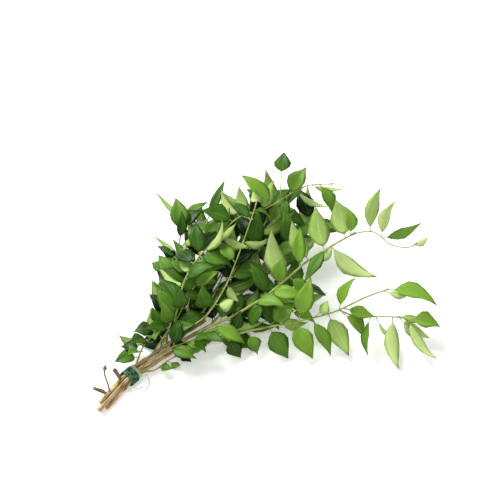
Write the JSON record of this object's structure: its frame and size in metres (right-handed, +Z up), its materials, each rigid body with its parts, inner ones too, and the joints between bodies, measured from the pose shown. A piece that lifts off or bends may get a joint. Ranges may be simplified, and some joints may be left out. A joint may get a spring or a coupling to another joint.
{
  "type": "curry leaf sprig bunch",
  "caption": "Tied bunch of fresh leafy curry leaf branches, lying down, with woody cut stems, a green band, string and pointed green leaves on thin twigs.",
  "frame": {"origin": "middle of the bounding box, on the surface that the bunch lies on", "axes": "+X from the cut ends side towards the tips, along the bunch's longest side; +Y towards the back leaves; +Z up"},
  "size_m": [0.3345, 0.2499, 0.1024],
  "materials": {
    "leaf": "semi-gloss upper face, matt paler underside",
    "green_twig": "smooth yellow-green young bark",
    "woody_stem": "tan bark with lengthwise ridges, pale cut ends",
    "dry_twig": "matt dry bark",
    "tie_band": "satin green tape",
    "tie_string": "twisted pale green-white twine"
  },
  "bodies": {
    "root": {"woody_stem_1": "woody_stem", "woody_stem_2": "woody_stem", "woody_stem_3": "woody_stem", "woody_stem_4": "woody_stem", "woody_stem_5": "woody_stem", "green_band": "tie_band", "string_turn_1": "tie_string", "string_turn_2": "tie_string", "string_knot": "tie_string", "string_tail_1": "tie_string", "string_tail_2": "tie_string", "dry_twig": "dry_twig", "dry_stub": "dry_twig", "dry_knob": "dry_twig", "lower_branch_leaf_1": "leaf", "lower_branch_leaf_2": "leaf", "lower_branch_leaf_3": "leaf", "lower_branch_leaf_4": "leaf", "lower_branch_leaf_5": "leaf", "lower_branch_leaf_6": "leaf", "lower_branch_leaf_7": "leaf", "lower_branch_leaf_8": "leaf", "lower_branch_leaf_9": "leaf", "lower_branch_leaf_10": "leaf", "lower_branch_leaf_11": "leaf", "lower_branch_leaf_12": "leaf", "lower_branch_leaf_13": "leaf", "lower_branch_leaf_14": "leaf", "lower_branch_leaf_15": "leaf", "lower_fork_leaf_1": "leaf", "lower_fork_leaf_2": "leaf", "lower_fork_leaf_3": "leaf", "lower_fork_leaf_4": "leaf", "lower_fork_leaf_5": "leaf", "lower_fork_leaf_6": "leaf", "lower_fork_leaf_7": "leaf", "lower_fork_leaf_8": "leaf", "lower_branch": "green_twig", "lower_fork": "green_twig", "upper_branch": "leaf", "tip_spray": "leaf", "arching_shoot": "leaf", "left_shoot": "leaf", "curling_shoot": "leaf", "front_shoot": "leaf", "inner_shoot_1": "leaf", "inner_shoot_2": "leaf", "inner_shoot_3": "leaf", "inner_shoot_4": "leaf", "inner_shoot_5": "leaf", "inner_shoot_6": "leaf", "inner_shoot_7": "leaf", "inner_shoot_8": "leaf", "back_shoot_1": "leaf", "back_shoot_2": "leaf", "small_shoot_1": "leaf", "small_shoot_2": "leaf", "small_shoot_3": "leaf", "small_shoot_4": "leaf"}
  },
  "joints": []
}
